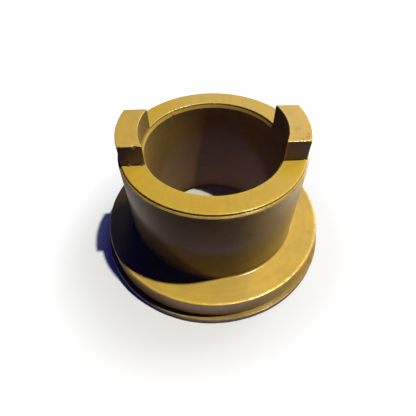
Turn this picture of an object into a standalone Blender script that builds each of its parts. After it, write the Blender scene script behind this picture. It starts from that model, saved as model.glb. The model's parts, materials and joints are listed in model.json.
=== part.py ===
"""Flanged bronze drive sleeve and the thrust ring below its flange.

The sleeve has a through bore, two drive tangs on its end face, a flange at its foot, and a
short spigot below the flange that the thrust ring is pressed on.

Metres, +Z up. The origin is on the bore's axis, at the underside of the thrust ring, which
is the face that the part rests on. The two tangs stand on the X axis.
"""

import math

import bmesh
import bpy
from mathutils import Matrix, Vector

MM = 0.001

# Sleeve
BORE_RADIUS = 30.0 * MM
SLEEVE_RADIUS = 41.0 * MM
SLEEVE_ABOVE_FLANGE = 44.7 * MM
REGISTER_RADIUS = 40.0 * MM        # turned-down end of the sleeve, which the tangs share
REGISTER_LENGTH = 0.95 * MM
REGISTER_LEDGE = 0.4 * MM          # flat part of the step between register and sleeve
SHOULDER_DROP = 0.4 * MM           # height of the chamfer outside that ledge
MOUTH_RADIUS = 30.8 * MM           # counterbore at the mouth, which the tangs share
MOUTH_DEPTH = 0.6 * MM
LEAD_IN_LENGTH = 1.55 * MM         # steep cone from the counterbore down to the bore
TOE_CHAMFER = 0.8 * MM             # at the bottom of the bore
CORNER_RADIUS = 0.8 * MM           # tool radius left between sleeve and flange

# Tangs
TANG_WIDTH = 25.3 * MM
TANG_HEIGHT = 9.5 * MM
TANG_CHAMFER = 0.35 * MM

# Flange
FLANGE_RADIUS = 54.3 * MM
FLANGE_THICKNESS = 9.8 * MM
FLANGE_EDGE_RADIUS = 0.9 * MM      # rounded top edge
FLANGE_HEEL_CHAMFER = 0.2 * MM

# Thrust ring, and the spigot that it is pressed on
RING_RADIUS = 56.5 * MM
RING_THICKNESS = 3.0 * MM
RING_CHAMFER = 0.2 * MM
SPIGOT_RADIUS = 41.0 * MM
SPIGOT_CHAMFER = 0.5 * MM
SPIGOT_RECESS = 0.3 * MM           # the spigot ends just above the ring's underside
FIT_GAP = 0.3 * MM                 # between the two solids, on the spigot and on the face

SEGMENTS = 128                     # around every turned surface
ARC_STEPS = 4                      # along a rounded edge
SMOOTH_ANGLE = math.radians(30.0)

# Heights above the underside of the thrust ring
FLANGE_BOTTOM = RING_THICKNESS + FIT_GAP
FLANGE_TOP = FLANGE_BOTTOM + FLANGE_THICKNESS
END_FACE = FLANGE_TOP + SLEEVE_ABOVE_FLANGE
TANG_TOP = END_FACE + TANG_HEIGHT

TURNED_GOLD = (0.58, 0.38, 0.09)
TURNED_GOLD_ROUGHNESS = 0.38
RING_GOLD = (0.50, 0.33, 0.10)
RING_GOLD_ROUGHNESS = 0.42


def clear_scene():
    for thing in list(bpy.data.objects):
        bpy.data.objects.remove(thing, do_unlink=True)


def metal(name, colour, roughness):
    """A bare metal surface."""
    material = bpy.data.materials.new(name)
    material.use_nodes = True
    shader = material.node_tree.nodes["Principled BSDF"]
    shader.inputs["Base Color"].default_value = (*colour, 1.0)
    shader.inputs["Metallic"].default_value = 1.0
    shader.inputs["Roughness"].default_value = roughness
    return material


def arc(centre, radius, first_angle, last_angle):
    """(r, z) points along an arc, with its angles in degrees from the outward direction."""
    points = []
    for step in range(ARC_STEPS + 1):
        angle = math.radians(first_angle + (last_angle - first_angle) * step / ARC_STEPS)
        points.append((centre[0] + radius * math.cos(angle), centre[1] + radius * math.sin(angle)))
    return points


def turned_mesh(name, outline):
    """A solid of revolution about Z, from a closed outline of (r, z) points."""
    profile = [Vector((radius, 0.0, height)) for radius, height in outline]
    shape = bmesh.new()
    columns = []
    for segment in range(SEGMENTS):
        turn = Matrix.Rotation(2.0 * math.pi * segment / SEGMENTS, 3, "Z")
        columns.append([shape.verts.new(turn @ point) for point in profile])
    for segment in range(SEGMENTS):
        here = columns[segment]
        beside = columns[(segment + 1) % SEGMENTS]
        for index in range(len(profile)):
            following = (index + 1) % len(profile)
            shape.faces.new((here[index], beside[index], beside[following], here[following]))
    bmesh.ops.recalc_face_normals(shape, faces=shape.faces)
    mesh = bpy.data.meshes.new(name)
    shape.to_mesh(mesh)
    shape.free()
    return mesh


def add_object(name, mesh):
    thing = bpy.data.objects.new(name, mesh)
    bpy.context.collection.objects.link(thing)
    return thing


def finish(part, material):
    part.data.materials.append(material)
    part.data.shade_smooth()
    part.data.set_sharp_from_angle(angle=SMOOTH_ANGLE)


def sleeve_outline():
    """The sleeve with its end still turned to the height of the tangs all the way round."""
    mouth_floor = END_FACE - MOUTH_DEPTH
    ledge = END_FACE - REGISTER_LENGTH
    ledge_radius = REGISTER_RADIUS + REGISTER_LEDGE
    corner = (SLEEVE_RADIUS + CORNER_RADIUS, FLANGE_TOP + CORNER_RADIUS)
    edge = (FLANGE_RADIUS - FLANGE_EDGE_RADIUS, FLANGE_TOP - FLANGE_EDGE_RADIUS)
    bore_side = [
        (BORE_RADIUS + TOE_CHAMFER, SPIGOT_RECESS),
        (BORE_RADIUS, SPIGOT_RECESS + TOE_CHAMFER),
        (BORE_RADIUS, mouth_floor - LEAD_IN_LENGTH),
        (MOUTH_RADIUS, mouth_floor),
        (MOUTH_RADIUS, TANG_TOP - TANG_CHAMFER),
        (MOUTH_RADIUS + TANG_CHAMFER, TANG_TOP),
    ]
    sleeve_side = [
        (REGISTER_RADIUS - TANG_CHAMFER, TANG_TOP),
        (REGISTER_RADIUS, TANG_TOP - TANG_CHAMFER),
        (REGISTER_RADIUS, ledge),
        (ledge_radius, ledge),
        (SLEEVE_RADIUS, ledge - SHOULDER_DROP),
    ]
    flange_side = arc(corner, CORNER_RADIUS, 180.0, 270.0)
    flange_side += arc(edge, FLANGE_EDGE_RADIUS, 90.0, 0.0)
    foot = [
        (FLANGE_RADIUS, FLANGE_BOTTOM + FLANGE_HEEL_CHAMFER),
        (FLANGE_RADIUS - FLANGE_HEEL_CHAMFER, FLANGE_BOTTOM),
        (SPIGOT_RADIUS, FLANGE_BOTTOM),
        (SPIGOT_RADIUS, SPIGOT_RECESS + SPIGOT_CHAMFER),
        (SPIGOT_RADIUS - SPIGOT_CHAMFER, SPIGOT_RECESS),
    ]
    return bore_side + sleeve_side + flange_side + foot


def mill_beside_tangs(part, side):
    """Mills the end of the sleeve down to its end face, on the +Y or the -Y side."""
    cut_length = 2.0 * REGISTER_RADIUS
    cut_height = 2.0 * TANG_HEIGHT
    shape = bmesh.new()
    bmesh.ops.create_cube(shape, size=1.0)
    bmesh.ops.scale(shape, vec=(2.0 * cut_length, cut_length, cut_height), verts=shape.verts)
    mesh = bpy.data.meshes.new("milling_cut")
    shape.to_mesh(mesh)
    shape.free()
    cutter = add_object("milling_cut", mesh)
    cutter.location.y = side * 0.5 * (TANG_WIDTH + cut_length)
    cutter.location.z = END_FACE + 0.5 * cut_height
    cutter.hide_render = True
    cutter.display_type = "WIRE"
    cut = part.modifiers.new("milled_end", "BOOLEAN")
    cut.operation = "DIFFERENCE"
    cut.solver = "EXACT"
    cut.object = cutter


def flanged_drive_sleeve():
    part = add_object("flanged_drive_sleeve", turned_mesh("flanged_drive_sleeve", sleeve_outline()))
    for side in (-1.0, 1.0):
        mill_beside_tangs(part, side)
    finish(part, metal("turned_gold", TURNED_GOLD, TURNED_GOLD_ROUGHNESS))


def thrust_ring():
    bore = SPIGOT_RADIUS + FIT_GAP
    outline = [
        (bore + RING_CHAMFER, 0.0),
        (bore, RING_CHAMFER),
        (bore, RING_THICKNESS - RING_CHAMFER),
        (bore + RING_CHAMFER, RING_THICKNESS),
        (RING_RADIUS - RING_CHAMFER, RING_THICKNESS),
        (RING_RADIUS, RING_THICKNESS - RING_CHAMFER),
        (RING_RADIUS, RING_CHAMFER),
        (RING_RADIUS - RING_CHAMFER, 0.0),
    ]
    part = add_object("thrust_ring", turned_mesh("thrust_ring", outline))
    finish(part, metal("ring_gold", RING_GOLD, RING_GOLD_ROUGHNESS))


clear_scene()
flanged_drive_sleeve()
thrust_ring()
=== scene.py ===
"""The looks of the flanged bronze drive sleeve and its thrust ring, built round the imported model."""

import json
import math
import random

import bpy
import numpy as np
from mathutils import Matrix, Vector


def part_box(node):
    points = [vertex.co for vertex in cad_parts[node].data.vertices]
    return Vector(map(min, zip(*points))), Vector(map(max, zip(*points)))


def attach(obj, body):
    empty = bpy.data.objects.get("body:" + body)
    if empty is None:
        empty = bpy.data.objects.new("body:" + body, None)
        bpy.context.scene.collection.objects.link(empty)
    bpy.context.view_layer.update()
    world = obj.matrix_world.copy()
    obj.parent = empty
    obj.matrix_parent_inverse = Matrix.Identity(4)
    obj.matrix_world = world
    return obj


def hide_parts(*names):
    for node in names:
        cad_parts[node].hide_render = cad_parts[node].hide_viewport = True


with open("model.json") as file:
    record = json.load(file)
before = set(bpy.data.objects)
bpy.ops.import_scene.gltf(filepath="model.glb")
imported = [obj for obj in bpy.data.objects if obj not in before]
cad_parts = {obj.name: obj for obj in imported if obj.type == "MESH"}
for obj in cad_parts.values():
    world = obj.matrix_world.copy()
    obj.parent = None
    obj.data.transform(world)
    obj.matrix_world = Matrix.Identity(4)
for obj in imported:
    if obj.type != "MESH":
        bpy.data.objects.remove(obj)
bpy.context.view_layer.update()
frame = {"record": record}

MM = 0.001

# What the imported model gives: boxes and mounts in metres, and sizes in millimetres
SLEEVE_LOW, SLEEVE_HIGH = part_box("flanged_drive_sleeve")
RING_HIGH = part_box("thrust_ring")[1]
MOUNTS = {mount["name"]: Vector(mount["pos_m"]) for mount in frame["record"]["mounts"]}
FLANGE_RADIUS = SLEEVE_HIGH.x / MM
TANG_TOP = SLEEVE_HIGH.z / MM
SPIGOT_END = SLEEVE_LOW.z / MM
RING_RADIUS = RING_HIGH.x / MM
RING_THICKNESS = RING_HIGH.z / MM
END_FACE = MOUNTS["end_face"].z / MM
FLANGE_TOP = MOUNTS["flange_shoulder"].z / MM
TANG_HALF_WIDTH = MOUNTS["tang_face_right_back"].y / MM

# Sizes in millimetres that part.py also has
BORE_RADIUS = 30.0
TOE_CHAMFER = 0.8
MOUTH_RADIUS = 30.8
MOUTH_DEPTH = 0.6
LEAD_IN_LENGTH = 1.55
REGISTER_RADIUS = 40.0
REGISTER_LENGTH = 0.95
REGISTER_LEDGE = 0.4
SHOULDER_DROP = 0.4
SLEEVE_RADIUS = 41.0
CORNER_RADIUS = 0.8
FLANGE_EDGE_RADIUS = 0.9
RING_BORE_RADIUS = 41.3

# Fine shape, in millimetres
FLANGE_BOTTOM = 3.1                # as good as touching the ring, as on the real part
SMALL_EDGE = 0.15                  # roundings in the bore
FACE_EDGE = 0.28                   # rounding of the end face's outer edge and the tangs' top edges
TANG_ROOT = 0.18                   # rounding between a tang's side face and the end face
TANG_OUTER_CORNER = 0.28           # rounding of the tangs' upright edges
TANG_INNER_CORNER = 0.2
CORNER_FADE = 0.9                  # height over which that rounding fades in above the end face
SHARP_CORNER = 0.5                 # an inner corner rounded less than this gets painted shade and some dirt
MARK_FADE = 0.25                   # wear, and painted shade with dirt, thin out over this distance from a corner
SUPPORT = 0.07                     # a row this close to a rounding keeps the flat beside it flat

# Mesh density
ARC_STEPS = 5                      # along a large rounding
MEDIUM_ROUNDING = 0.25             # a rounding up to this radius gets fewer steps
MEDIUM_ARC_STEPS = 3
TINY_ROUNDING = 0.1
TINY_ARC_STEPS = 2
WALL_STEPS = 10                    # down a tang's side face
ARC_COLUMNS = 164                  # across each stretch of end face between the tangs
TANG_COLUMNS = 56                  # across each tang
RING_COLUMNS = 480
LIFT_DIGITS = 6                    # columns that rise equally far have the same lift to here
WELD_STEPS = 2.0e4                 # per millimetre; points on the same step become one
SHARP_ANGLE = math.radians(40.0)


class Rows:
    """Points of a turned outline, from its foot up the inner side and down the outer side.

    A top row rises with the tangs; a wall row rises with them up to its level.
    """

    def __init__(self):
        self.radius, self.height, self.level, self.edge, self.shade_and_grime = [], [], [], [], []

    def add(self, point, level=0.0, edge=0.0, shade_and_grime=0.0):
        self.radius.append(point[0])
        self.height.append(point[1])
        self.level.append(level)
        self.edge.append(edge)
        self.shade_and_grime.append(shade_and_grime)


def arc_steps(radius):
    if radius > MEDIUM_ROUNDING:
        return ARC_STEPS
    return MEDIUM_ARC_STEPS if radius > TINY_ROUNDING else TINY_ARC_STEPS


def rounding(before, corner, after, radius):
    """Points of the rounding of one corner, and whether it sticks out."""
    corner = np.array(corner)
    into = corner - before
    onward = after - corner
    into = into / np.linalg.norm(into)
    onward = onward / np.linalg.norm(onward)
    cross = into[0] * onward[1] - into[1] * onward[0]
    turn = math.atan2(abs(cross), float(into @ onward))
    start = corner - into * radius * math.tan(0.5 * turn)
    side = np.array([-into[1], into[0]]) * math.copysign(1.0, cross)
    centre = start + side * radius
    angles = np.linspace(0.0, turn, arc_steps(radius) + 1)
    points = [centre - side * radius * math.cos(a) + into * radius * math.sin(a) for a in angles]
    return points, cross < 0.0


def outline_rows(corners, levels=()):
    """Rows along corners of (radius, height, rounding, spacing of the rows after it, on top)."""
    rows = Rows()
    count = len(corners)
    places = [np.array(corner[:2]) for corner in corners]
    arcs = []
    for i in range(count):
        arcs.append(rounding(places[i - 1], places[i], places[(i + 1) % count], corners[i][2]))
    for i in range(count):
        points, convex = arcs[i]
        # Painted shade, with some dirt, goes into inner corners that are rounded only a little.
        shaded_corner = not convex and corners[i][2] < SHARP_CORNER
        following = (i + 1) % count
        spacing, on_top = corners[i][3], corners[i][4]
        level = math.inf if on_top else 0.0
        if on_top and not corners[i - 1][4]:
            for lift in sorted(levels):
                rows.add(points[0], level=lift)
        for point in points:
            rows.add(point, level=level, edge=float(convex), shade_and_grime=float(shaded_corner))
        if on_top and not corners[following][4]:
            for lift in sorted(levels, reverse=True):
                rows.add(points[-1], level=lift)
        start, end = points[-1], arcs[following][0][0]
        length = np.linalg.norm(end - start)
        if length < 3.0 * SUPPORT:
            continue
        level = math.inf if on_top and corners[following][4] else 0.0
        pieces = max(1, math.ceil((length - 2.0 * SUPPORT) / spacing))
        for along in np.linspace(SUPPORT, length - SUPPORT, pieces + 1):
            near_start = math.exp(-along / MARK_FADE)
            near_end = math.exp(-(length - along) / MARK_FADE)
            rows.add(
                start + (end - start) * along / length,
                level=level,
                edge=max(near_start * arcs[i][1], near_end * arcs[following][1]),
                shade_and_grime=max(near_start * shaded_corner, near_end * (not arcs[following][1])),
            )
    return rows


def weld(co, quads, *values):
    """Merges points at the same place and drops faces that shrink to nothing."""
    keys = np.round(co * WELD_STEPS).astype(np.int64)
    unique, first, back = np.unique(keys, axis=0, return_index=True, return_inverse=True)
    back = back.reshape(-1)
    merged = []
    for value in values:
        most = np.zeros(len(unique))
        np.maximum.at(most, back, value)
        merged.append(most)
    faces = []
    for quad in back[quads]:
        face = [quad[k] for k in range(4) if quad[k] != quad[k - 1]]
        if len(set(face)) > 2:
            faces.append([int(index) for index in face])
    return co[first], faces, merged


def grid_quads(columns, rows):
    """Faces of a grid that closes on itself both ways."""
    column, row = np.meshgrid(np.arange(columns), np.arange(rows), indexing="ij")
    beside, above = (column + 1) % columns, (row + 1) % rows
    corners = [(column, row), (column, above), (beside, above), (beside, row)]
    return np.stack([c.ravel() * rows + r.ravel() for c, r in corners], axis=1)


def turned_points(radius, angle, height):
    """Points at these radii, angles in radians and heights."""
    co = np.broadcast_arrays(radius * np.cos(angle), radius * np.sin(angle), height)
    return np.stack(co, axis=-1)


def make_piece(name, co, faces, values):
    """A smooth piece from points in millimetres, with one attribute for each named value."""
    mesh = bpy.data.meshes.new(name)
    mesh.from_pydata((co * MM).tolist(), [], faces)
    mesh.update()
    for label, value in values.items():
        attribute = mesh.attributes.new(label, "FLOAT", "POINT")
        attribute.data.foreach_set("value", value.astype(np.float32))
    mesh.shade_smooth()
    mesh.set_sharp_from_angle(angle=SHARP_ANGLE)
    piece = bpy.data.objects.new(name, mesh)
    bpy.context.scene.collection.objects.link(piece)
    return piece


def tang_side():
    """A tang's side from its top down to the end face: (distance out, lift, edge, painted shade with
    grime).
    """
    lift = TANG_TOP - END_FACE
    quarter = np.linspace(0.0, 0.5 * math.pi, ARC_STEPS + 1)
    path = [(-FACE_EDGE - SUPPORT, lift, 0.6, 0.0)]
    for angle in quarter:
        out = FACE_EDGE * (math.sin(angle) - 1.0)
        path.append((out, lift + FACE_EDGE * (math.cos(angle) - 1.0), 1.0, 0.0))
    for height in np.linspace(lift - FACE_EDGE - SUPPORT, TANG_ROOT + SUPPORT, WALL_STEPS):
        path.append((0.0, height, 0.0, 0.0))
    for angle in quarter:
        out = TANG_ROOT * (1.0 - math.cos(angle))
        path.append((out, TANG_ROOT * (1.0 - math.sin(angle)), 0.0, 1.0))
    path.append((TANG_ROOT + SUPPORT, 0.0, 0.0, 0.5))
    return path


def sleeve_columns():
    """Columns once round the sleeve: (base angle, sign, distance out, share, lift, edge, painted shade
    with grime).

    A column keeps its distance from a tang's side face; with a share it lies between two of them.
    """
    side = tang_side()
    lift = TANG_TOP - END_FACE
    inner, outer = side[0][0] - SUPPORT, side[-1][0] + SUPPORT
    columns = []
    for base in (0.0, math.pi):
        for share in np.linspace(0.0, 1.0, TANG_COLUMNS // 2, endpoint=False):
            columns.append((base, 1.0, inner, ("tang", share), lift, 0.0, 0.0))
        for out, height, edge, shade_and_grime in side:
            columns.append((base, 1.0, out, None, height, edge, shade_and_grime))
        for share in np.linspace(0.0, 1.0, ARC_COLUMNS):
            columns.append((base, 1.0, outer, ("arc", share), 0.0, 0.0, 0.0))
        for out, height, edge, shade_and_grime in reversed(side):
            columns.append((base + math.pi, -1.0, out, None, height, edge, shade_and_grime))
        for share in np.linspace(1.0, 0.0, TANG_COLUMNS // 2, endpoint=False):
            columns.append((base + math.pi, -1.0, inner, ("tang", share), lift, 0.0, 0.0))
    return columns


def column_angles(column, radius):
    """The column's angle at each radius, so that the tangs' side faces stay flat."""
    base, sign, out, share = column[:4]
    offset = np.arcsin((TANG_HALF_WIDTH + out) / np.clip(radius, MOUTH_RADIUS, REGISTER_RADIUS))
    if share is None:
        return base + sign * offset
    if share[0] == "tang":
        return base + sign * offset * share[1]
    return base + offset + (math.pi - 2.0 * offset) * share[1]


def sleeve_shape():
    """The sleeve's points, quads, edge wear, and painted shade with grime."""
    mouth_floor = END_FACE - MOUTH_DEPTH
    ledge = END_FACE - REGISTER_LENGTH
    ledge_radius = REGISTER_RADIUS + REGISTER_LEDGE
    corners = [
        (BORE_RADIUS + TOE_CHAMFER, SPIGOT_END, SMALL_EDGE, 0.5, False),
        (BORE_RADIUS, SPIGOT_END + TOE_CHAMFER, SMALL_EDGE, 5.0, False),
        (BORE_RADIUS, mouth_floor - LEAD_IN_LENGTH, SMALL_EDGE, 0.4, False),
        (MOUTH_RADIUS, mouth_floor, 0.05, 0.3, False),
        (MOUTH_RADIUS, END_FACE, 0.32, 0.35, True),
        (REGISTER_RADIUS, END_FACE, FACE_EDGE, 0.3, True),
        (REGISTER_RADIUS, ledge, 0.06, 0.3, False),
        (ledge_radius, ledge, 0.12, 0.3, False),
        (SLEEVE_RADIUS, ledge - SHOULDER_DROP, 0.2, 2.5, False),
        (SLEEVE_RADIUS, FLANGE_TOP, CORNER_RADIUS, 0.6, False),
        (FLANGE_RADIUS, FLANGE_TOP, FLANGE_EDGE_RADIUS, 1.2, False),
        (FLANGE_RADIUS, FLANGE_BOTTOM, 0.12, 2.0, False),
        (SLEEVE_RADIUS, FLANGE_BOTTOM, 0.1, 1.5, False),
        (SLEEVE_RADIUS, SPIGOT_END, 0.5, 2.0, False),
    ]
    columns = sleeve_columns()
    lifts = [round(column[4], LIFT_DIGITS) for column in columns]
    rows = outline_rows(corners, set(lifts))
    radius, height, level = (np.array(v) for v in (rows.radius, rows.height, rows.level))
    row_edge, row_shade_and_grime = np.array(rows.edge), np.array(rows.shade_and_grime)
    raised = (level > 0.0).astype(float)
    co, edge, shade_and_grime = [], [], []
    for column, lift in zip(columns, lifts):
        rise = np.minimum(lift, level)
        co.append(turned_points(radius, column_angles(column, radius), height + rise))
        edge.append(np.maximum(row_edge, column[5] * raised))
        shade_and_grime.append(np.maximum(row_shade_and_grime, column[6] * raised))
    quads = grid_quads(len(columns), len(radius))
    return np.concatenate(co), quads, np.concatenate(edge), np.concatenate(shade_and_grime)


def ring_shape():
    """The ring's points, quads, edge wear, and painted shade with grime."""
    rows = outline_rows([
        (RING_BORE_RADIUS, 0.0, 0.3, 1.0, False),
        (RING_BORE_RADIUS, RING_THICKNESS, 0.3, 1.2, False),
        (RING_RADIUS, RING_THICKNESS, 0.2, 0.5, False),
        (RING_RADIUS, 0.0, 0.2, 1.5, False),
    ])
    radius, height = np.array(rows.radius), np.array(rows.height)
    angle = np.linspace(0.0, 2.0 * math.pi, RING_COLUMNS, endpoint=False)[:, None]
    co = turned_points(radius, angle, height).reshape(-1, 3)
    quads = grid_quads(RING_COLUMNS, len(radius))
    return co, quads, np.tile(rows.edge, RING_COLUMNS), np.tile(rows.shade_and_grime, RING_COLUMNS)


def polar(radius, azimuth, height):
    turn = math.radians(azimuth)
    return np.array([radius * math.cos(turn), radius * math.sin(turn), height])


# Wear, dirt and painted shade. All sizes are in millimetres.
OUTER_EDGE = -1.0                         # the metal lies nearer the axis than the edge
INNER_EDGE = 1.0                          # the metal lies farther from the axis than the edge
NICK_SIZES = (0.45, 1.2)
NICK_DEPTHS = (0.05, 0.13)                # as shares of the size
END_FACE_AZIMUTHS = [*range(24, 157), *range(204, 337)]
TANG_REACH = 17                           # degrees to each side of a tang's middle
FOOT_SHADE_HEIGHT = 1.8                    # painted shade at the foot of the bore fades out over this height
FLANGE_EDGE_INSET = 0.3                   # from the flange's corner in to its rounded edge
RING_EDGE_INSET = 0.15
ON_EDGE = 0.001                           # a point this near to an edge, face or wall is on it
ON_FACE = 0.01
ON_WALL = 0.02
CLEAR_OF_WALL = 0.05
FOOT_REACH = 0.1                          # beyond the chamfer at the bottom of the bore
WALL_SHADE_HEIGHTS = (34.0, 52.0)         # between these heights the painted shade on the wall thins
WALL_SHADE_SHARES = (0.85, 0.3)           # from the first of these shares to the second
# Painted shade on the shoulder, as a darker brown.
SHOULDER_SHADE = 0.6
RING_EDGE_WEAR = 0.6                      # the ring's edges are worn less than the sleeve's
RING_NICKS = 22

# Dents of (place, size, depth, direction)
FRONT = -TANG_HALF_WIDTH
SLEEVE_DENTS = [
    ((-31.1, FRONT, TANG_TOP), 1.2, 0.55, (0.0, 1.0, -0.1)),
    ((-35.6, FRONT, TANG_TOP), 0.7, 0.16, (0.0, 1.0, -0.4)),
    ((-29.6, FRONT, TANG_TOP - 2.9), 0.9, 0.22, (-1.0, 1.0, 0.0)),
    ((-28.6, FRONT, TANG_TOP - 6.4), 0.8, 0.25, (-1.0, 1.0, 0.0)),
    ((-34.6, FRONT, END_FACE + 0.3), 1.5, -0.75, (0.0, 1.0, 0.0)),
    ((-29.4, FRONT, END_FACE + 0.3), 1.0, -0.60, (0.0, 1.0, 0.0)),
    ((30.4, FRONT, END_FACE + 0.3), 0.9, -0.30, (0.0, 1.0, 0.0)),
    ((36.3, -10.1, TANG_TOP), 0.55, 0.18, (0.0, 0.0, -1.0)),
    ((37.3, -8.4, TANG_TOP), 0.45, 0.12, (0.0, 0.0, -1.0)),
    ((38.9, 11.4, TANG_TOP), 0.6, 0.20, (-1.0, -0.3, -1.0)),
    ((36.9, FRONT, TANG_TOP), 0.8, 0.16, (0.0, 1.0, -1.0)),
    (polar(MOUTH_RADIUS, 125.5, END_FACE), 0.9, 0.22, (-0.6, 0.8, -1.0)),
    (polar(MOUTH_RADIUS, 130.5, END_FACE), 0.7, 0.15, (-0.6, 0.8, -1.0)),
    (
        polar(BORE_RADIUS, 127.0, END_FACE - MOUTH_DEPTH - LEAD_IN_LENGTH),
        0.9, 0.30, (-0.6, 0.8, 0.3),
    ),
    (polar(SLEEVE_RADIUS, -64.8, END_FACE - 1.3), 0.9, 0.16, (-0.4, 0.9, -0.4)),
]

# Stains of (place, size, strength)
SLEEVE_STAINS = [
    ((34.2, -4.6, TANG_TOP), 1.5, 0.5),
    ((36.4, -10.1, TANG_TOP), 0.7, 1.0),
    ((37.4, -8.4, TANG_TOP), 0.5, 1.0),
    ((34.6, -11.3, TANG_TOP), 0.6, 0.8),
    ((38.6, 11.5, TANG_TOP), 0.6, 1.0),
    ((39.4, -3.1, TANG_TOP), 0.7, 0.5),
    ((-32.3, 5.7, TANG_TOP), 1.6, 0.35),
    ((-35.4, -9.8, TANG_TOP), 1.4, 0.2),
    (polar(33.4, 129.5, END_FACE), 0.6, 0.7),
    (polar(31.9, 125.5, END_FACE), 0.6, 0.7),
    (polar(36.0, 96.0, END_FACE), 1.8, 0.25),
    (polar(35.0, -83.0, END_FACE), 1.6, 0.25),
    (polar(SLEEVE_RADIUS, -72.9, 43.6), 2.6, 0.6),
    (polar(SLEEVE_RADIUS, -104.0, 29.0), 3.4, 0.35),
    (polar(48.0, -62.0, FLANGE_TOP), 1.8, 0.3),
    (polar(50.5, -20.0, FLANGE_TOP), 1.4, 0.35),
    (polar(BORE_RADIUS, 160.0, 40.0), 4.0, 0.5),
]
RING_STAIN_AZIMUTHS = (-140, -97, -58, 12, 75, 160)
RING_STAINS = [
    (polar(RING_RADIUS, azimuth, RING_THICKNESS), 3.0, 0.6) for azimuth in RING_STAIN_AZIMUTHS
]

chance = random.Random(41)                # seeded, so the nicks are the same each run


def round_upright_edges(co, wall_radius, outward, width):
    """Rounds the tangs' upright edges where their side faces meet the wall at this radius."""
    radius = np.hypot(co[:, 0], co[:, 1])
    from_face = TANG_HALF_WIDTH - np.abs(co[:, 1])
    from_wall = outward * (wall_radius - radius)
    rise = (co[:, 2] - END_FACE - TANG_ROOT) / CORNER_FADE
    wide = width * np.clip(rise, 0.0, 1.0)
    inset = np.minimum(from_face, from_wall)
    along = np.maximum(from_face, from_wall) - inset
    near = (inset > -ON_EDGE) & (inset < FACE_EDGE) & (along < wide)
    wide = wide[near]
    angle = 0.25 * math.pi * (1.0 - along[near] / wide)
    across = inset[near] + wide * (1.0 - np.cos(angle))
    beside = inset[near] + wide * (1.0 - np.sin(angle))
    face_first = from_face[near] <= from_wall[near]
    new_face = np.where(face_first, across, beside)
    new_wall = np.where(face_first, beside, across)
    new_y = np.sign(co[near, 1]) * (TANG_HALF_WIDTH - new_face)
    new_radius = wall_radius - outward * new_wall
    moved = co.copy()
    moved[near, 1] = new_y
    moved[near, 0] = np.sign(co[near, 0]) * np.sqrt(new_radius ** 2 - new_y ** 2)
    return moved, near


def dent(co, centre, size, depth, direction):
    """Presses in the surface round one point; a negative depth raises a burr."""
    away = np.linalg.norm(co - centre, axis=1) / size
    share = np.clip(1.0 - away * away, 0.0, 1.0) ** 2
    direction = np.array(direction) / np.linalg.norm(direction)
    return co + direction * (depth * share)[:, None]


def nick_edge(co, radius, height, side, azimuths):
    """Small nicks at these azimuths of a turned edge."""
    for azimuth in azimuths:
        size = chance.uniform(*NICK_SIZES)
        depth = size * chance.uniform(*NICK_DEPTHS)
        place = polar(radius, azimuth, height)
        co = dent(co, place, size, depth, (side * place[0], side * place[1], -radius))
    return co


def marks(co, spots):
    """How strongly each point is marked by round spots of (place, size, strength)."""
    total = np.zeros(len(co))
    for place, size, strength in spots:
        away = np.linalg.norm(co - np.array(place), axis=1) / size
        total = np.maximum(total, strength * np.exp(-away * away))
    return total


def milled_share(co):
    """1 on the end face and the tangs' side faces, which were milled, and 0 elsewhere."""
    radius = np.hypot(co[:, 0], co[:, 1])
    between = (radius > MOUTH_RADIUS + CLEAR_OF_WALL) & (radius < REGISTER_RADIUS - CLEAR_OF_WALL)
    below_top = (co[:, 2] > END_FACE - CLEAR_OF_WALL) & (co[:, 2] < TANG_TOP - CLEAR_OF_WALL)
    return (between & below_top).astype(float)


def painted_shade_share(co):
    """How far each point gets painted shade, as a darker brown colour.

    The bore and the tangs' inner and side faces get it fully, and the sleeve's wall (more of it low
    down) and shoulder partly.
    """
    radius = np.hypot(co[:, 0], co[:, 1])
    height = co[:, 2]
    bore = radius < BORE_RADIUS + ON_WALL
    tang = height > END_FACE + TANG_ROOT
    above_flange = height > FLANGE_TOP
    tang_inner = tang & (radius < MOUTH_RADIUS + ON_WALL)
    side_face = np.abs(np.abs(co[:, 1]) - TANG_HALF_WIDTH) < ON_FACE
    tang_side_face = tang & (radius < REGISTER_RADIUS + ON_FACE) & side_face
    sleeve_wall = (np.abs(radius - SLEEVE_RADIUS) < ON_WALL) & above_flange
    wall_share = np.interp(height, WALL_SHADE_HEIGHTS, WALL_SHADE_SHARES)
    shoulder = (radius > REGISTER_RADIUS + CLEAR_OF_WALL) & (radius < SLEEVE_RADIUS - ON_WALL)
    outside = np.maximum(sleeve_wall * wall_share, (shoulder & above_flange) * SHOULDER_SHADE)
    return np.maximum.reduce([bore, tang_inner, tang_side_face, outside])


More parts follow.
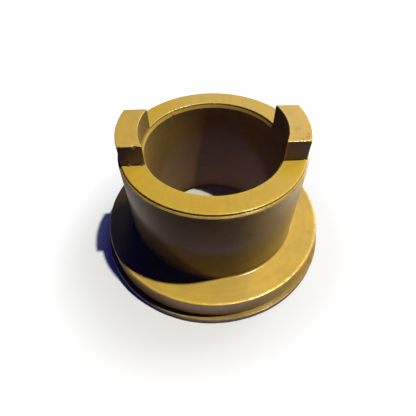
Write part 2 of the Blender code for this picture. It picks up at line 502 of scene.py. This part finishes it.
def wear_sleeve(co, edge):
    """Breaks the tangs' upright edges, then nicks and dents the sleeve."""
    for wall_radius, outward, width in (
        (REGISTER_RADIUS, 1.0, TANG_OUTER_CORNER),
        (MOUTH_RADIUS, -1.0, TANG_INNER_CORNER),
    ):
        co, rounded = round_upright_edges(co, wall_radius, outward, width)
        edge = np.maximum(edge, rounded.astype(float))
    shoulder = END_FACE - REGISTER_LENGTH - SHOULDER_DROP
    flange_edge = FLANGE_TOP - FLANGE_EDGE_INSET
    right, left = (range(middle - TANG_REACH, middle + TANG_REACH + 1) for middle in (0, 180))
    for radius, height, side, azimuths, count in (
        (MOUTH_RADIUS, END_FACE, INNER_EDGE, END_FACE_AZIMUTHS, 9),
        (REGISTER_RADIUS, END_FACE, OUTER_EDGE, END_FACE_AZIMUTHS, 8),
        (SLEEVE_RADIUS, shoulder, OUTER_EDGE, range(360), 16),
        (FLANGE_RADIUS - FLANGE_EDGE_INSET, flange_edge, OUTER_EDGE, range(360), 26),
        (REGISTER_RADIUS, TANG_TOP, OUTER_EDGE, right, 4),
        (MOUTH_RADIUS, TANG_TOP, INNER_EDGE, right, 3),
        (REGISTER_RADIUS, TANG_TOP, OUTER_EDGE, left, 4),
        (MOUTH_RADIUS, TANG_TOP, INNER_EDGE, left, 3),
    ):
        co = nick_edge(co, radius, height, side, chance.choices(azimuths, k=count))
    for place, size, depth, direction in SLEEVE_DENTS:
        co = dent(co, np.array(place), size, depth, direction)
    return co, edge


def make_sleeve():
    co, quads, edge, shade_and_grime = sleeve_shape()
    co, faces, (edge, shade_and_grime) = weld(co, quads, edge, shade_and_grime)
    milled = milled_share(co)
    # How far each point gets painted shade.
    shade_brown = painted_shade_share(co)
    shaded_foot = np.hypot(co[:, 0], co[:, 1]) < BORE_RADIUS + TOE_CHAMFER + FOOT_REACH
    # Painted shade darkens the foot of the bore.
    shade_and_grime = np.maximum(shade_and_grime, shaded_foot * np.exp(-((co[:, 2] / FOOT_SHADE_HEIGHT) ** 2)))
    co, edge = wear_sleeve(co, edge)
    values = {"edge": edge, "shade_and_grime": shade_and_grime, "milled": milled, "shade_brown": shade_brown}
    values["stain"] = marks(co, SLEEVE_STAINS)
    return make_piece("sleeve_turned", co, faces, values)


def make_ring():
    co, quads, edge, shade_and_grime = ring_shape()
    co, faces, (edge, shade_and_grime) = weld(co, quads, edge, shade_and_grime)
    radius, height = RING_RADIUS - RING_EDGE_INSET, RING_THICKNESS - RING_EDGE_INSET
    co = nick_edge(co, radius, height, OUTER_EDGE, chance.choices(range(360), k=RING_NICKS))
    none = np.zeros(len(co))
    values = {"edge": RING_EDGE_WEAR * edge, "shade_and_grime": shade_and_grime, "milled": none, "shade_brown": none}
    values["stain"] = marks(co, RING_STAINS)
    return make_piece("ring_turned", co, faces, values)


sleeve = make_sleeve()
ring = make_ring()

# Materials
CUTTER_RADIUS = 20.0                    # millimetres
CLEAN_GOLD = (0.400, 0.262, 0.037)
DULL_GOLD = (0.362, 0.240, 0.046)
MILLED_GOLD = (0.380, 0.246, 0.010)
# The ring's bronze is a darker copy of the sleeve's: painted shade for the ring under the flange.
RING_SHADED_CLEAN = (0.215, 0.138, 0.026)
RING_SHADED_DULL = (0.170, 0.110, 0.028)
# Painted shade: darker browns for the bore, the tangs' faces, and the sleeve's wall and shoulder.
SHADED_BROWN = (0.240, 0.137, 0.024)
DARKER_SHADED_BROWN = (0.196, 0.130, 0.030)
SHADED_FACE_BROWN = (0.230, 0.150, 0.080)      # painted shade on the tangs' side faces
WORN_EDGE = (0.50, 0.34, 0.08)
# Pits and dirt, and the painted shade in inner corners and at the bore's foot.
DIRT_AND_SHADE = (0.110, 0.050, 0.010)
STAIN = (0.130, 0.066, 0.026)
METALLIC = 0.6
COAT_WEIGHT = 0.55
COAT_ROUGHNESS = 0.20
SCRATCH_STRETCH = (0.16, 3.6, 3.6)
SCRATCH_TURNS = ((0.3, 0.2, 0.5), (1.1, 0.7, 2.2), (0.5, 1.9, 1.2))


class Graph:
    """A material's nodes, with a value or another node's output fed to every socket."""

    def __init__(self, name):
        self.material = bpy.data.materials.new(name)
        self.material.use_nodes = True
        self.tree = self.material.node_tree
        self.shader = self.tree.nodes["Principled BSDF"]

    def node(self, kind, **settings):
        node = self.tree.nodes.new(kind)
        for key, value in settings.items():
            setattr(node, key, value)
        return node

    def feed(self, socket, value):
        if isinstance(value, bpy.types.NodeSocket):
            self.tree.links.new(value, socket)
        else:
            socket.default_value = value

    def math(self, operation, *values):
        node = self.node("ShaderNodeMath", operation=operation)
        for socket, value in zip(node.inputs, values):
            self.feed(socket, value)
        return node.outputs[0]

    def times(self, first, second):
        return self.math("MULTIPLY", first, second)

    def total(self, start, *terms):
        """The start plus each of the (value, weight) terms."""
        for value, weight in terms:
            start = self.math("MULTIPLY_ADD", value, weight, start)
        return start

    def ramp(self, value, low, high, to_low=0.0, to_high=1.0):
        node = self.node("ShaderNodeMapRange", interpolation_type="SMOOTHSTEP")
        for socket, number in zip(node.inputs, (value, low, high, to_low, to_high)):
            self.feed(socket, number)
        return node.outputs[0]

    def noise(self, where, scale, detail=2.0, roughness=0.5):
        """Noise about 0.5: along a line where the place is a number, else in space."""
        line = where.type == "VALUE"
        node = self.node("ShaderNodeTexNoise", noise_dimensions="1D" if line else "3D")
        self.feed(node.inputs["W" if line else "Vector"], where)
        for key, value in (("Scale", scale), ("Detail", detail), ("Roughness", roughness)):
            node.inputs[key].default_value = value
        return node.outputs["Fac"]

    def stretched(self, where, scale, turn):
        node = self.node("ShaderNodeMapping")
        self.feed(node.inputs["Vector"], where)
        node.inputs["Scale"].default_value = scale
        node.inputs["Rotation"].default_value = turn
        return node.outputs[0]

    def attribute(self, name):
        return self.node("ShaderNodeAttribute", attribute_name=name).outputs["Fac"]

    def mix(self, share, first, second):
        node = self.node("ShaderNodeMix", data_type="RGBA")
        self.feed(node.inputs[0], share)
        for socket, colour in ((node.inputs[6], first), (node.inputs[7], second)):
            self.feed(socket, (*colour, 1.0) if isinstance(colour, tuple) else colour)
        return node.outputs[2]

    def scaled(self, colour, factor):
        node = self.node("ShaderNodeVectorMath", operation="SCALE")
        self.feed(node.inputs[0], colour)
        self.feed(node.inputs["Scale"], factor)
        return node.outputs[0]


def tool_marks(graph, place, milled):
    """A number that runs across the tool marks.

    It follows the profile where the part is turned, and the cutter's arcs where it is milled.
    """
    split = graph.node("ShaderNodeSeparateXYZ")
    graph.feed(split.inputs[0], place)
    x, y, z = split.outputs
    radius = graph.math("SQRT", graph.math("MULTIPLY_ADD", y, y, graph.times(x, x)))
    turned = graph.math("ADD", radius, z)
    side = graph.math("SUBTRACT", graph.math("ABSOLUTE", y), TANG_HALF_WIDTH + CUTTER_RADIUS)
    sweep = graph.math("SUBTRACT", CUTTER_RADIUS ** 2, graph.times(side, side))
    arcs = graph.math("ADD", x, graph.math("SQRT", graph.math("MAXIMUM", sweep, 0.0)))
    rest = graph.math("SUBTRACT", 1.0, milled)
    return graph.math("ADD", graph.times(arcs, milled), graph.times(turned, rest))


def bronze(name, clean, dull):
    """Machined bronze that has dulled: tool marks, tarnish, bright worn edges, painted shade with some
    dirt in inner corners, and painted shade as a darker brown in the bore, on the tangs' faces and on
    the wall.
    """
    graph = Graph(name)
    place = graph.scaled(graph.node("ShaderNodeTexCoord").outputs["Object"], 1.0 / MM)
    milled = graph.attribute("milled")
    shade_brown = graph.attribute("shade_brown")
    along = tool_marks(graph, place, milled)
    # Patterns, with their scales per millimetre
    feed_lines = graph.noise(along, 3.2, 2.0)
    bands = graph.noise(along, 0.55, 2.0)
    clouds = graph.noise(place, 0.07, 5.0, 0.6)
    mottle = graph.noise(place, 0.45, 4.0, 0.6)
    grain = graph.noise(place, 3.0, 3.0, 0.6)
    pits = graph.ramp(graph.noise(place, 1.7, 1.0), 0.74, 0.80)
    scratches = 0.0
    for turn in SCRATCH_TURNS:
        hair = graph.noise(graph.stretched(place, SCRATCH_STRETCH, turn), 1.0, 0.0)
        scratches = graph.math("MAXIMUM", scratches, graph.ramp(hair, 0.80, 0.86))
    edge = graph.times(graph.attribute("edge"), graph.ramp(mottle, 0.35, 0.62, 0.25, 1.0))
    # Painted shade, with some dirt, in inner corners and at the bore's foot.
    shade_and_dirt = graph.times(graph.attribute("shade_and_grime"), graph.ramp(mottle, 0.30, 0.70, 0.35, 0.75))
    spots = graph.times(graph.attribute("stain"), graph.ramp(grain, 0.42, 0.60))
    smudge = graph.ramp(graph.noise(place, 0.16, 3.0, 0.65), 0.62, 0.78, 0.0, 0.14)
    stain = graph.math("MAXIMUM", spots, smudge)

    # Colour
    gold = graph.mix(graph.ramp(clouds, 0.36, 0.66), clean, dull)
    gold = graph.mix(graph.times(milled, 0.75), gold, MILLED_GOLD)
    # Painted shade: a darker brown, mottled by tarnish, where the point is marked for it.
    tarnish = graph.ramp(graph.noise(place, 0.08, 3.0, 0.5), 0.36, 0.64)
    shaded_colour = graph.mix(tarnish, SHADED_BROWN, DARKER_SHADED_BROWN)
    shaded_colour = graph.mix(graph.times(milled, shade_brown), shaded_colour, SHADED_FACE_BROWN)
    shade = graph.total(0.80, (feed_lines, 0.16), (bands, 0.12), (mottle, 0.12))
    colour = graph.scaled(graph.mix(shade_brown, gold, shaded_colour), shade)
    for share, over in (
        (graph.times(pits, 0.6), DIRT_AND_SHADE),
        (graph.times(scratches, 0.35), WORN_EDGE),
        (stain, STAIN),
        (shade_and_dirt, DIRT_AND_SHADE),
        (graph.times(edge, 0.10), WORN_EDGE),
    ):
        colour = graph.mix(share, colour, over)
    graph.feed(graph.shader.inputs["Base Color"], colour)

    # Roughness
    rough = graph.total(0.68, (clouds, 0.16), (grain, 0.10), (edge, -0.38), (stain, 0.10))
    graph.feed(graph.shader.inputs["Roughness"], rough)

    # Relief in millimetres
    relief = graph.total(
        0.0, (feed_lines, 0.006), (bands, 0.010), (grain, 0.004), (mottle, 0.012),
        (pits, -0.030), (scratches, -0.006),
    )
    bump = graph.node("ShaderNodeBump")
    bump.inputs["Distance"].default_value = MM
    graph.feed(bump.inputs["Height"], relief)
    graph.feed(graph.shader.inputs["Normal"], bump.outputs[0])

    graph.shader.inputs["Metallic"].default_value = METALLIC
    graph.shader.inputs["Coat Weight"].default_value = COAT_WEIGHT
    graph.shader.inputs["Coat Roughness"].default_value = COAT_ROUGHNESS
    return graph.material


def finish_piece(piece, material, node):
    piece.data.materials.append(material)
    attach(piece, "root")
    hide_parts(node)


sleeve_bronze = bronze("turned_bronze", CLEAN_GOLD, DULL_GOLD)
# Painted shade: the ring gets the darker copy of the bronze.
ring_shaded_bronze = bronze("ring_shaded_bronze", RING_SHADED_CLEAN, RING_SHADED_DULL)
finish_piece(sleeve, sleeve_bronze, "flanged_drive_sleeve")
finish_piece(ring, ring_shaded_bronze, "thrust_ring")

# Camera, with its angles in degrees and its lens and sensor in millimetres
CAMERA_TARGET = Vector((-2.48, 0.0, 14.19)) * MM
CAMERA_DISTANCE = 175.13 * MM
CAMERA_ELEVATION = 49.87
CAMERA_ROLL = -0.60
CAMERA_TURN = -1.92
CAMERA_LENS = 28.43
CAMERA_SENSOR = 36.0
CAMERA_CLIP_START = 5.0 * MM


def add_camera():
    data = bpy.data.cameras.new("camera")
    data.lens = CAMERA_LENS
    data.sensor_width = CAMERA_SENSOR
    data.clip_start = CAMERA_CLIP_START
    camera = bpy.data.objects.new("camera", data)
    bpy.context.scene.collection.objects.link(camera)
    tilt = Matrix.Rotation(math.radians(90.0 - CAMERA_ELEVATION), 4, "X")
    roll = Matrix.Rotation(math.radians(CAMERA_ROLL), 4, "Z")
    turn = Matrix.Rotation(math.radians(CAMERA_TURN), 4, "Z")
    back = Matrix.Translation((0.0, 0.0, CAMERA_DISTANCE))
    camera.matrix_world = turn @ Matrix.Translation(CAMERA_TARGET) @ tilt @ roll @ back
    bpy.context.scene.camera = camera


add_camera()

# Stage, in metres. The card's radii are in millimetres.
FLOOR_HALF_WIDTH = 1.5
FLOOR_DEPTH = 0.0001
FLOOR_TINTS = ((0.45, 0.455, 0.51), (0.47, 0.475, 0.53))
BORE_FLOOR_SHADE = (0.335, 0.315, 0.29)       # painted shade on the floor inside the part
BORE_FLOOR_SHADE_EDGE = (0.032, 0.050)        # distances from the axis that it fades out between
FLOOR_GLOW = (0.056, 0.125, 0.0, 0.55)  # two distances from the axis, and the glow at each; no glow near the part is painted shade
FAR_GLOW = (0.3, 1.2, 0.0, 0.45)        # the same, added to it
DOME_RADIUS = 1.45
DOME_ROWS = 12
DOME_COLUMNS = 48
CARD_DEPTH = 0.0002
CARD_RADII = [*range(0, 40, 3), *range(56, 140, 3), *range(140, 420, 20)]
CARD_COLUMNS = 96
RIGHT_GLOW = (1.55, 1.46, 1.2)
LEFT_GLOW = (0.40, 0.39, 0.36)
NEAR_GLOW = (0.46, 0.38, 0.39)
RIM_GLOW = (1.15, 0.95, 1.45)
BORE_GLOW = (0.38, 0.27, 0.38)


def staged_sheet(name, co, faces):
    mesh = bpy.data.meshes.new(name)
    mesh.from_pydata(co, [], faces)
    sheet = bpy.data.objects.new(name, mesh)
    bpy.context.scene.collection.objects.link(sheet)
    return sheet


def staged_grid(name, co):
    """A sheet from points in columns and rows, which closes on itself from column to column."""
    columns, rows = co.shape[:2]
    quads = [quad for quad in grid_quads(columns, rows) if quad[0] % rows < rows - 1]
    return staged_sheet(name, co.reshape(-1, 3).tolist(), [[int(i) for i in quad] for quad in quads])


def glow_material(name, colour):
    """A surface that only glows, with one colour or with the colours of an attribute."""
    graph = Graph(name)
    emission = graph.node("ShaderNodeEmission")
    if isinstance(colour, str):
        colour = graph.node("ShaderNodeAttribute", attribute_name=colour).outputs["Color"]
    graph.feed(emission.inputs["Color"], colour)
    graph.feed(graph.tree.nodes["Material Output"].inputs["Surface"], emission.outputs[0])
    graph.tree.nodes.remove(graph.shader)
    return graph.material


def add_floor():
    """A pale floor that only the camera sees, with a glow that grows outwards from the part, and
    painted shade inside and next to the part.
    """
    far = FLOOR_HALF_WIDTH
    co = [(x, y, -FLOOR_DEPTH) for x, y in ((-far, -far), (far, -far), (far, far), (-far, far))]
    floor = staged_sheet("floor", co, [(0, 1, 2, 3)])
    graph = Graph("pale_floor")
    place = graph.node("ShaderNodeTexCoord").outputs["Object"]
    length = graph.node("ShaderNodeVectorMath", operation="LENGTH")
    graph.feed(length.inputs[0], place)
    away = length.outputs["Value"]
    tint = graph.mix(graph.noise(place, 9.0, 4.0), *FLOOR_TINTS)
    # Painted shade: a darker floor inside the part, and no glow next to it.
    tint = graph.mix(graph.ramp(away, *BORE_FLOOR_SHADE_EDGE), BORE_FLOOR_SHADE, tint)
    glow = graph.math("ADD", graph.ramp(away, *FLOOR_GLOW), graph.ramp(away, *FAR_GLOW))
    graph.feed(graph.shader.inputs["Base Color"], tint)
    graph.feed(graph.shader.inputs["Emission Strength"], glow)
    graph.shader.inputs["Emission Color"].default_value = (1.0, 1.0, 1.0, 1.0)
    graph.shader.inputs["Roughness"].default_value = 0.9
    floor.data.materials.append(graph.material)
    floor.visible_glossy = False
    floor.visible_diffuse = False
    floor.visible_shadow = False


def add_backdrop():
    """A white dome round the stage that only the camera sees."""
    rise = np.linspace(0.0, 0.5 * math.pi, DOME_ROWS)
    turn = np.arange(DOME_COLUMNS)[:, None] * 2.0 * math.pi / DOME_COLUMNS
    co = turned_points(np.cos(rise) * DOME_RADIUS, turn, np.sin(rise) * DOME_RADIUS)
    dome = staged_grid("backdrop", co)
    dome.data.materials.append(glow_material("backdrop_white", (1.0, 1.0, 1.0, 1.0)))
    for kind in ("diffuse", "glossy", "transmission", "shadow", "volume_scatter"):
        setattr(dome, "visible_" + kind, False)


def step_up(value, low, high):
    share = np.clip((value - low) / (high - low), 0.0, 1.0)
    return share * share * (3.0 - 2.0 * share)


def lobe(angle, centre, width):
    away = (angle - centre + 180.0) % 360.0 - 180.0
    return np.exp(-((away / width) ** 2))


def add_bounce_card():
    """A glowing sheet that only the part sees, in place of the light a real floor gives back.

    Angles are in degrees and radii in millimetres.
    """
    azimuths = np.linspace(0.0, 360.0, CARD_COLUMNS, endpoint=False)
    radius, angle = np.meshgrid(np.array(CARD_RADII, float), azimuths)
    co = turned_points(radius, np.radians(angle), -CARD_DEPTH / MM) * MM
    card = staged_grid("bounce_card", co)
    shadow = lobe(angle, 205.0, 50.0) * (1.0 - step_up(radius, 57.0, 64.0))
    outside_ring = step_up(radius, 57.0, 61.0)
    left = step_up(radius, 50.0, 60.0) * (1.0 - step_up(radius, 110.0, 140.0))
    rim = step_up(radius, 57.0, 60.0) * (1.0 - step_up(radius, 61.0, 65.0))
    shares = (
        (RIGHT_GLOW, lobe(angle, -4.0, 36.0) * step_up(radius, 64.0, 84.0)),
        (LEFT_GLOW, lobe(angle, 185.0, 32.0) * left),
        (NEAR_GLOW, (1.0 - step_up(radius, 58.0, 92.0)) * (1.0 - shadow) * outside_ring),
        (RIM_GLOW, lobe(angle, 272.0, 30.0) * rim),
        (BORE_GLOW, 1.0 - step_up(radius, 22.0, 31.0)),
    )
    glow = sum(share[..., None] * np.array((*colour, 0.0)) for colour, share in shares)
    attribute = card.data.attributes.new("glow", "FLOAT_COLOR", "POINT")
    attribute.data.foreach_set("color", glow.reshape(-1).astype(np.float32))
    card.data.materials.append(glow_material("bounce_glow", "glow"))
    card.visible_camera = False
    card.visible_shadow = False


# Lights. Angles are in degrees and lengths in metres.
LAMPS_AIM = Vector((0.0, 0.0, 0.029))      # near the middle of the part
KEY_AZIMUTH = 7.5 + CAMERA_TURN
KEY_ELEVATION = 71.4
KEY_DISTANCE = 1.8
KEY_SIZE = 0.054
KEY_ENERGY = 57.0
KEY_COLOUR = (1.0, 0.98, 0.77)
SUN_DISTANCE = 1.0
SUNS = (
    # name, azimuth, elevation, angle across, energy, colour
    ("low_fill", 38.0, 18.0, 34.0, 2.1, (0.93, 0.92, 1.0)),
    ("back_fill", 74.0, 31.0, 36.0, 0.34, (0.45, 0.62, 1.0)),
)
WORLD_COLOUR = (0.006, 0.009, 0.16)


def lamp_at(kind, name, side, energy, colour):
    """A lamp that shines at the part from this side: (azimuth, elevation, distance)."""
    azimuth, elevation, distance = side
    data = bpy.data.lights.new(name, kind)
    data.energy = energy
    data.color = colour
    lamp = bpy.data.objects.new(name, data)
    bpy.context.scene.collection.objects.link(lamp)
    direction = Vector((1.0, 0.0, 0.0))
    direction.rotate(Matrix.Rotation(-math.radians(elevation), 3, "Y"))
    direction.rotate(Matrix.Rotation(math.radians(azimuth), 3, "Z"))
    lamp.location = LAMPS_AIM + direction * distance
    lamp.rotation_euler = direction.to_track_quat("Z", "Y").to_euler()
    return data


def add_lights():
    side = (KEY_AZIMUTH, KEY_ELEVATION, KEY_DISTANCE)
    key = lamp_at("AREA", "key", side, KEY_ENERGY, KEY_COLOUR)
    key.shape = "DISK"
    key.size = KEY_SIZE
    for name, azimuth, elevation, across, energy, colour in SUNS:
        sun = lamp_at("SUN", name, (azimuth, elevation, SUN_DISTANCE), energy, colour)
        sun.angle = math.radians(across)
    world = bpy.data.worlds.new("studio")
    bpy.context.scene.world = world
    world.use_nodes = True
    world.node_tree.nodes["Background"].inputs["Color"].default_value = (*WORLD_COLOUR, 1.0)


add_floor()
add_backdrop()
add_bounce_card()
add_lights()
bpy.context.scene.view_settings.view_transform = "Standard"
